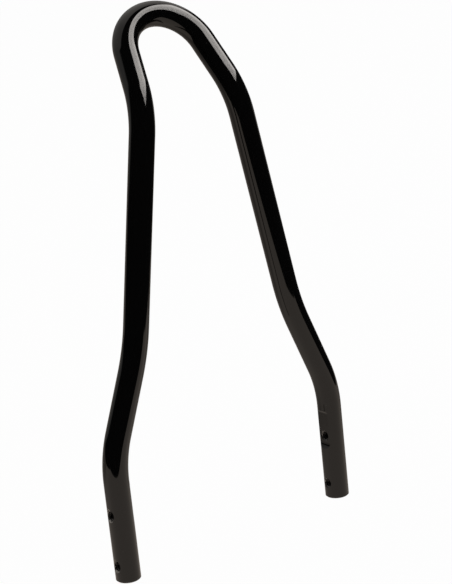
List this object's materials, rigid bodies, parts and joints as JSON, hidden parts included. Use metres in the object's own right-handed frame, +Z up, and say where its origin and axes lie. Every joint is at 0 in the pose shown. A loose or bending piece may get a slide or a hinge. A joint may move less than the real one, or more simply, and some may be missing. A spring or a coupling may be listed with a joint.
{
  "type": "sissy bar",
  "caption": "Bent round-bar sissy bar: a hoop with a kicked-back looped top and tapped holes through both legs for bolting behind a motorcycle seat.",
  "frame": {"origin": "midway between the centre lines of the two legs, level with their cut ends", "axes": "+X to the right across the machine, +Y backwards, the way the top is kicked, +Z up along the legs"},
  "size_m": [0.2256, 0.0586, 0.4122],
  "materials": {
    "black_paint": "gloss black powder coat, even all over",
    "bare_thread": "bare cut steel in the tapped holes"
  },
  "bodies": {
    "root": {"bent_bar": "black_paint"}
  },
  "joints": []
}
